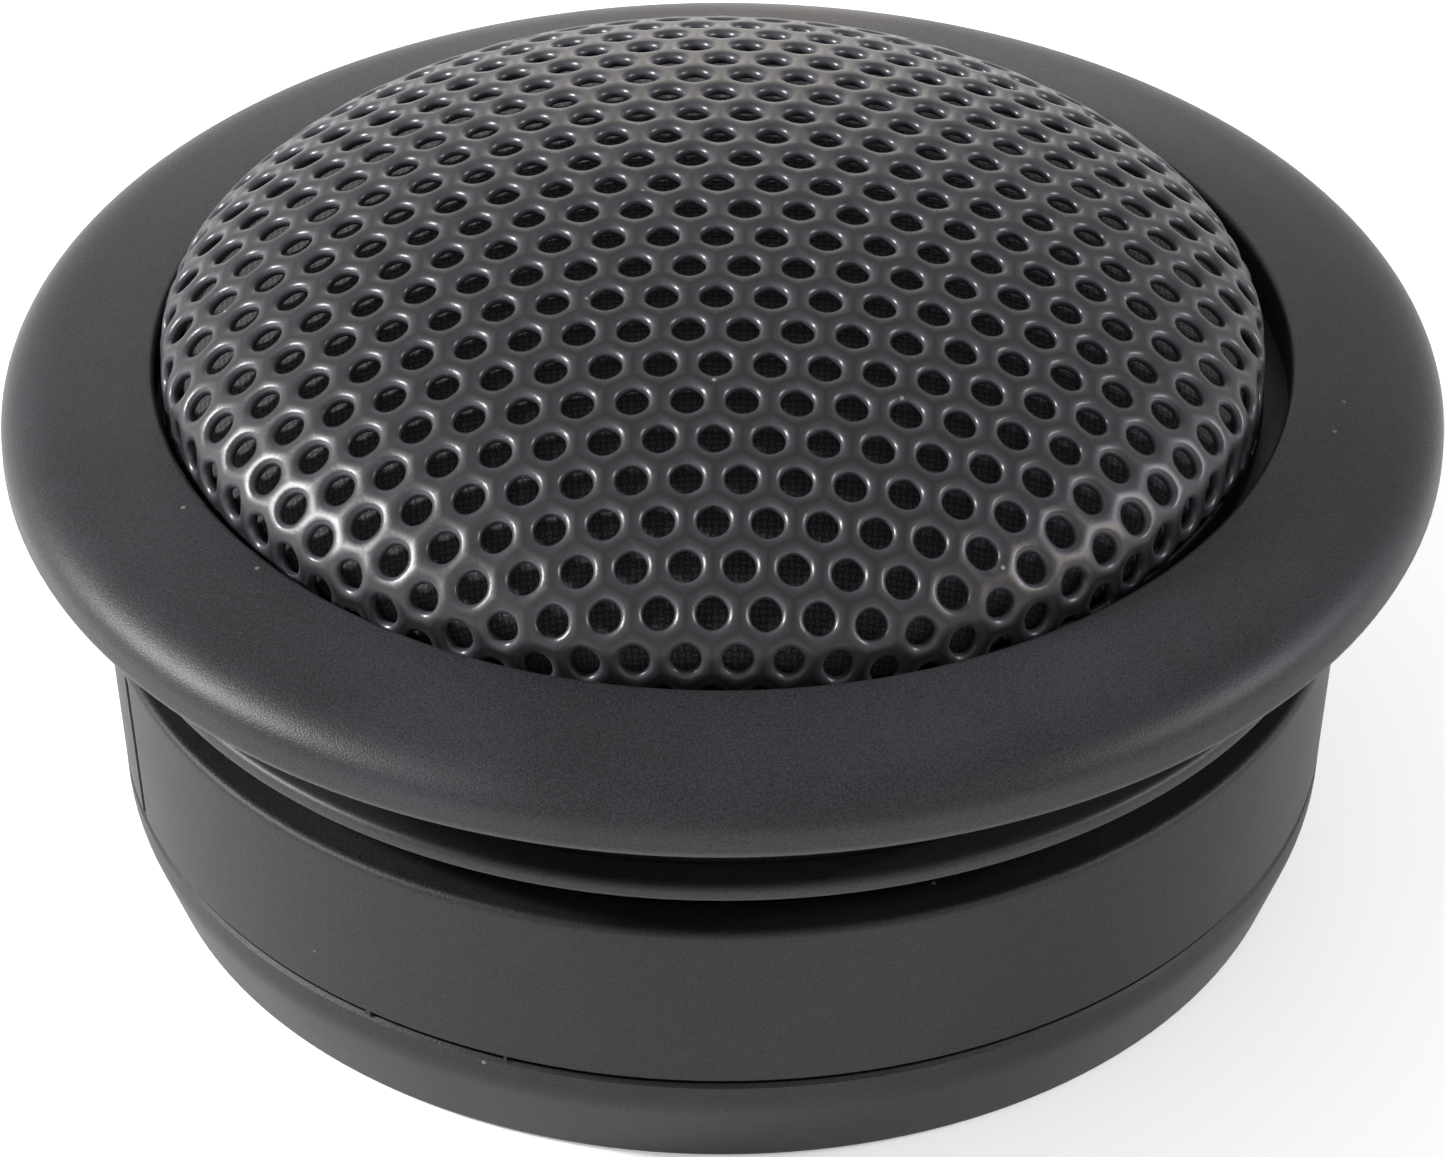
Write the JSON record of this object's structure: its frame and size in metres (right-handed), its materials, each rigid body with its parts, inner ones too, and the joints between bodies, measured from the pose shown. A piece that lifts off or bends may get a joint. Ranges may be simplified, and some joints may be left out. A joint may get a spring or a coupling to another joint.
{
  "type": "car tweeter",
  "caption": "Round soft dome tweeter behind a domed perforated grille, in a flanged head that twists into a surface-mount cup.",
  "frame": {"origin": "centre of the cup's flat base, on the surface that the tweeter is fixed to", "axes": "+Z along the tweeter's axis from the base towards the top of the grille; +X towards the terminals"},
  "size_m": [0.055, 0.055, 0.0292],
  "materials": {
    "cup_plastic": "fine moulded texture, black ABS",
    "bush_rubber": "black rubber",
    "bezel_plastic": "satin black moulded ABS",
    "ring_plastic": "satin black",
    "grille_steel": "satin black powder coat on perforated steel",
    "dust_cloth": "thin black open weave",
    "inner_plastic": "black moulded ABS",
    "magnetic_steel": "zinc plated, turned",
    "nickel_plate": "nickel plated",
    "felt": "grey felt",
    "coated_silk": "doped woven silk",
    "aluminium_foil": "plain foil",
    "copper_wire": "enamelled and bare copper",
    "tinned_brass": "tinned stamped brass",
    "capacitor_case": "dipped film capacitor, unmarked",
    "screw_steel": "black zinc"
  },
  "bodies": {
    "cup": {"base_cup": "cup_plastic", "cup_sleeve": "cup_plastic", "lead_bush": "bush_rubber"},
    "head": {"bezel": "bezel_plastic", "neck_ring": "ring_plastic", "grille": "grille_steel", "grille_cloth": "dust_cloth", "cloth_hoop": "inner_plastic", "faceplate": "inner_plastic", "yoke": "magnetic_steel", "magnet": "nickel_plate", "pole_plate": "magnetic_steel", "felt_pad": "felt", "surround": "coated_silk", "terminal_positive": "tinned_brass", "terminal_negative": "tinned_brass", "tinsel_lead_positive": "copper_wire", "tinsel_lead_negative": "copper_wire", "rear_cover": "inner_plastic", "capacitor": "capacitor_case", "capacitor_terminal_lead": "copper_wire", "capacitor_supply_pin": "copper_wire", "faceplate_screw_1": "screw_steel", "faceplate_screw_2": "screw_steel", "faceplate_screw_3": "screw_steel", "cover_screw_1": "screw_steel", "cover_screw_2": "screw_steel", "cover_screw_3": "screw_steel"},
    "diaphragm": {"soft_dome": "coated_silk", "coil_former": "aluminium_foil", "voice_coil": "copper_wire"}
  },
  "joints": [
    {"name": "twist_lock", "type": "hinge", "parent": "cup", "child": "head", "pos_m": [0, 0, 0.01205], "axis": [0, 0, 1], "range_deg": [0, 30]},
    {"name": "dome_excursion", "type": "slide", "parent": "head", "child": "diaphragm", "axis": [0, 0, 1], "range_m": [-0.0004, 0.0004], "stiffness_N_per_m": 2000}
  ]
}
